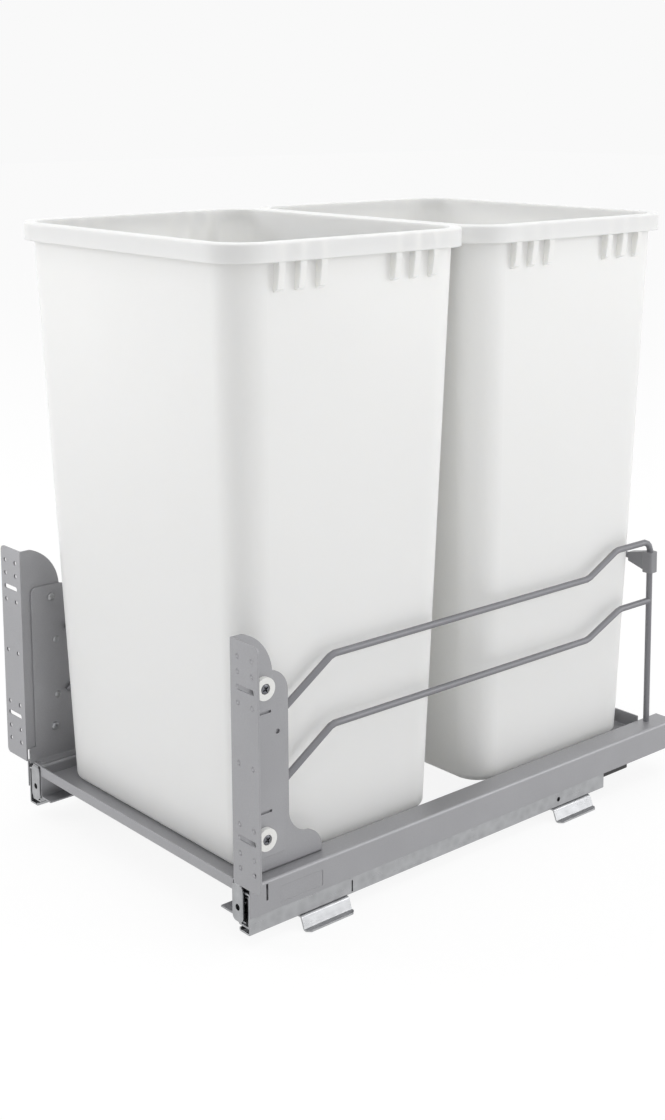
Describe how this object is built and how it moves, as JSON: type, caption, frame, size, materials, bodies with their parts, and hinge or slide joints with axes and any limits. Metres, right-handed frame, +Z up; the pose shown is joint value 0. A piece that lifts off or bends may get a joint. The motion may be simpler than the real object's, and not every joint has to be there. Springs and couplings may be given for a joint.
{
  "type": "pull-out waste-bin unit",
  "caption": "Sheet-steel pull-out carriage on floor-mounted telescopic runners, with tall open waste bins one behind the other and side brackets for a cabinet door.",
  "frame": {"origin": "bottom centre of the whole unit's bounding box with the carriage pushed in, at the level of the cabinet floor", "axes": "+Z up, the front faces -Y, so the carriage pulls out along -Y; X runs across the cabinet"},
  "size_m": [0.4262, 0.58, 0.607],
  "materials": {
    "powder_coated_steel": "satin silver-grey powder coat",
    "moulded_bin_plastic": "satin moulded white",
    "zinc_plated_steel": "bright zinc plate",
    "white_nylon": "natural white nylon",
    "black_damper_plastic": "moulded black",
    "grey_clip_plastic": "moulded grey",
    "steel_screw": "zinc-plated screw",
    "cage_plastic": "moulded"
  },
  "bodies": {
    "cabinet_runners": {"left_fixed_member": "zinc_plated_steel", "right_fixed_member": "zinc_plated_steel", "left_soft_close": "black_damper_plastic", "right_soft_close": "black_damper_plastic", "left_front_floor_bracket": "zinc_plated_steel", "right_front_floor_bracket": "zinc_plated_steel", "left_rear_floor_bracket": "zinc_plated_steel", "right_rear_floor_bracket": "zinc_plated_steel"},
    "carriage": {"left_side_rail": "powder_coated_steel", "right_side_rail": "powder_coated_steel", "front_cross_member": "powder_coated_steel", "rear_cross_member": "powder_coated_steel", "left_front_bin_ledge": "powder_coated_steel", "right_front_bin_ledge": "powder_coated_steel", "left_rear_bin_ledge": "powder_coated_steel", "right_rear_bin_ledge": "powder_coated_steel", "left_front_cap": "zinc_plated_steel", "right_front_cap": "zinc_plated_steel", "left_moving_member": "zinc_plated_steel", "right_moving_member": "zinc_plated_steel", "left_base_bracket": "powder_coated_steel", "right_base_bracket": "powder_coated_steel", "left_upper_cam_screw": "steel_screw", "right_upper_cam_screw": "steel_screw", "left_lower_cam_screw": "steel_screw", "right_lower_cam_screw": "steel_screw", "left_side_wires": "powder_coated_steel", "right_side_wires": "powder_coated_steel", "left_corner_clip": "grey_clip_plastic", "right_corner_clip": "grey_clip_plastic", "rear_top_bar": "powder_coated_steel"},
    "middle_members": {"left_middle_member": "zinc_plated_steel", "right_middle_member": "zinc_plated_steel"},
    "outer_cages": {"left_outer_cage": "cage_plastic", "right_outer_cage": "cage_plastic"},
    "inner_cages": {"left_inner_cage": "cage_plastic", "right_inner_cage": "cage_plastic"},
    "front_bin": {"front_bin": "moulded_bin_plastic"},
    "rear_bin": {"rear_bin": "moulded_bin_plastic"},
    "left_door_bracket": {"left_door_bracket": "powder_coated_steel"},
    "right_door_bracket": {"right_door_bracket": "powder_coated_steel"},
    "left_upper_cam": {"left_upper_cam": "white_nylon"},
    "left_lower_cam": {"left_lower_cam": "white_nylon"},
    "right_upper_cam": {"right_upper_cam": "white_nylon"},
    "right_lower_cam": {"right_lower_cam": "white_nylon"}
  },
  "joints": [
    {"name": "drawer_slide", "type": "slide", "parent": "cabinet_runners", "child": "carriage", "axis": [0, -1, 0], "range_m": [0, 0.53]},
    {"name": "middle_slide", "type": "slide", "parent": "cabinet_runners", "child": "middle_members", "axis": [0, -1, 0], "range_m": [0, 0.2652]},
    {"name": "outer_cage_slide", "type": "slide", "parent": "cabinet_runners", "child": "outer_cages", "axis": [0, -1, 0], "range_m": [0, 0.1327]},
    {"name": "inner_cage_slide", "type": "slide", "parent": "cabinet_runners", "child": "inner_cages", "axis": [0, -1, 0], "range_m": [0, 0.3977]},
    {"name": "front_bin_lift", "type": "slide", "parent": "carriage", "child": "front_bin", "axis": [0, 0, 1], "range_m": [0, 0.58]},
    {"name": "rear_bin_lift", "type": "slide", "parent": "carriage", "child": "rear_bin", "axis": [0, 0, 1], "range_m": [0, 0.58]},
    {"name": "left_bracket_height", "type": "slide", "parent": "carriage", "child": "left_door_bracket", "axis": [0, 0, 1], "range_m": [-0.0012, 0.0012]},
    {"name": "left_upper_cam_turn", "type": "hinge", "parent": "carriage", "child": "left_upper_cam", "pos_m": [-0.179, -0.258, 0.227], "axis": [1, 0, 0], "range_deg": [-45, 45]},
    {"name": "left_lower_cam_turn", "type": "hinge", "parent": "carriage", "child": "left_lower_cam", "pos_m": [-0.179, -0.258, 0.091], "axis": [1, 0, 0], "range_deg": [-45, 45]},
    {"name": "right_bracket_height", "type": "slide", "parent": "carriage", "child": "right_door_bracket", "axis": [0, 0, 1], "range_m": [-0.0012, 0.0012]},
    {"name": "right_upper_cam_turn", "type": "hinge", "parent": "carriage", "child": "right_upper_cam", "pos_m": [0.179, -0.258, 0.227], "axis": [1, 0, 0], "range_deg": [-45, 45]},
    {"name": "right_lower_cam_turn", "type": "hinge", "parent": "carriage", "child": "right_lower_cam", "pos_m": [0.179, -0.258, 0.091], "axis": [1, 0, 0], "range_deg": [-45, 45]}
  ],
  "couplings": [
    {"joint": "middle_slide", "follows": "drawer_slide", "ratio": 0.5},
    {"joint": "outer_cage_slide", "follows": "drawer_slide", "ratio": 0.25},
    {"joint": "inner_cage_slide", "follows": "drawer_slide", "ratio": 0.75},
    {"joint": "left_upper_cam_turn", "follows": "left_bracket_height", "rad_per_m": 625},
    {"joint": "left_lower_cam_turn", "follows": "left_bracket_height", "rad_per_m": 625},
    {"joint": "right_upper_cam_turn", "follows": "right_bracket_height", "rad_per_m": 625},
    {"joint": "right_lower_cam_turn", "follows": "right_bracket_height", "rad_per_m": 625}
  ]
}
